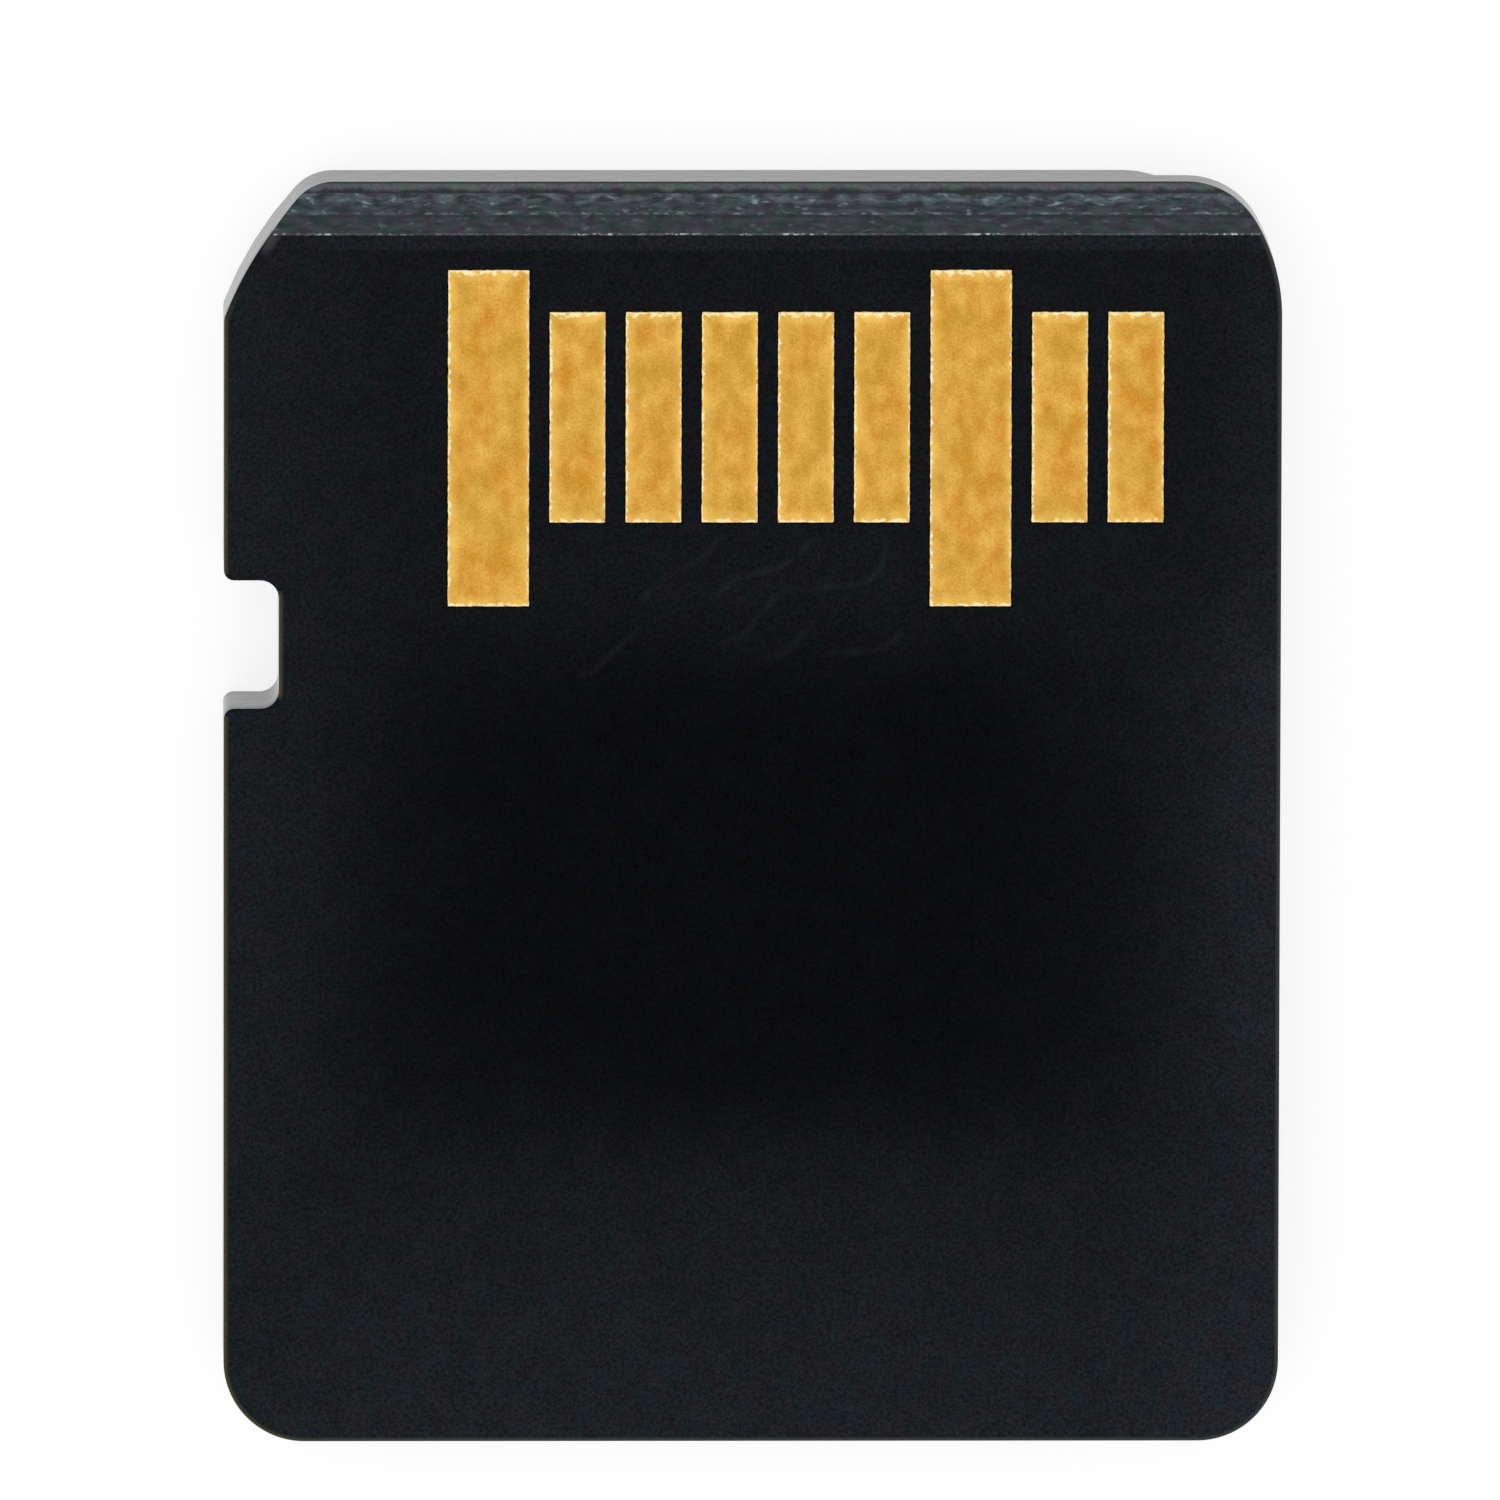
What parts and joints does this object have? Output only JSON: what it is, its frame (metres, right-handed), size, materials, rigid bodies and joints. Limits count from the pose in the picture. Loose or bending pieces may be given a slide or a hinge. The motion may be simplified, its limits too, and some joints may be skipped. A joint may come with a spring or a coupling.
{
  "type": "console memory card",
  "caption": "Small flat memory card with flush gold contacts, a bevelled lead edge, a key corner, a latch notch and a side guide rail, moulded round its chips.",
  "frame": {"origin": "centre of the card in plan, on its label face", "axes": "+Y towards the bevelled end that goes into the socket first, +Z out of the contact face, -X towards the key corner and latch notch"},
  "size_m": [0.0126, 0.015, 0.0016],
  "materials": {
    "attach_film": "cured adhesive film",
    "board_resist": "black solder resist on glass laminate, matt",
    "bond_gold": "drawn gold wire, bright",
    "capacitor_ceramic": "fired ceramic",
    "contact_gold": "gold plating, satin",
    "moulding_resin": "black epoxy moulding compound, fine matt",
    "silicon": "polished silicon"
  },
  "bodies": {
    "root": {"ceramic_capacitor_1": "capacitor_ceramic", "ceramic_capacitor_2": "capacitor_ceramic", "ceramic_capacitor_3": "capacitor_ceramic", "controller_attach_film": "attach_film", "controller_bond_wires": "bond_gold", "controller_die": "silicon", "die_attach_film_1": "attach_film", "die_attach_film_2": "attach_film", "die_attach_film_3": "attach_film", "die_attach_film_4": "attach_film", "die_attach_film_5": "attach_film", "die_attach_film_6": "attach_film", "die_attach_film_7": "attach_film", "die_attach_film_8": "attach_film", "flash_bond_wires_1": "bond_gold", "flash_bond_wires_2": "bond_gold", "flash_bond_wires_3": "bond_gold", "flash_bond_wires_4": "bond_gold", "flash_bond_wires_5": "bond_gold", "flash_bond_wires_6": "bond_gold", "flash_bond_wires_7": "bond_gold", "flash_bond_wires_8": "bond_gold", "flash_die_1": "silicon", "flash_die_2": "silicon", "flash_die_3": "silicon", "flash_die_4": "silicon", "flash_die_5": "silicon", "flash_die_6": "silicon", "flash_die_7": "silicon", "flash_die_8": "silicon", "long_contact_1": "contact_gold", "long_contact_2": "contact_gold", "moulded_body": "moulding_resin", "printed_board": "board_resist", "short_contact_1": "contact_gold", "short_contact_2": "contact_gold", "short_contact_3": "contact_gold", "short_contact_4": "contact_gold", "short_contact_5": "contact_gold", "short_contact_6": "contact_gold", "short_contact_7": "contact_gold"}
  },
  "joints": []
}
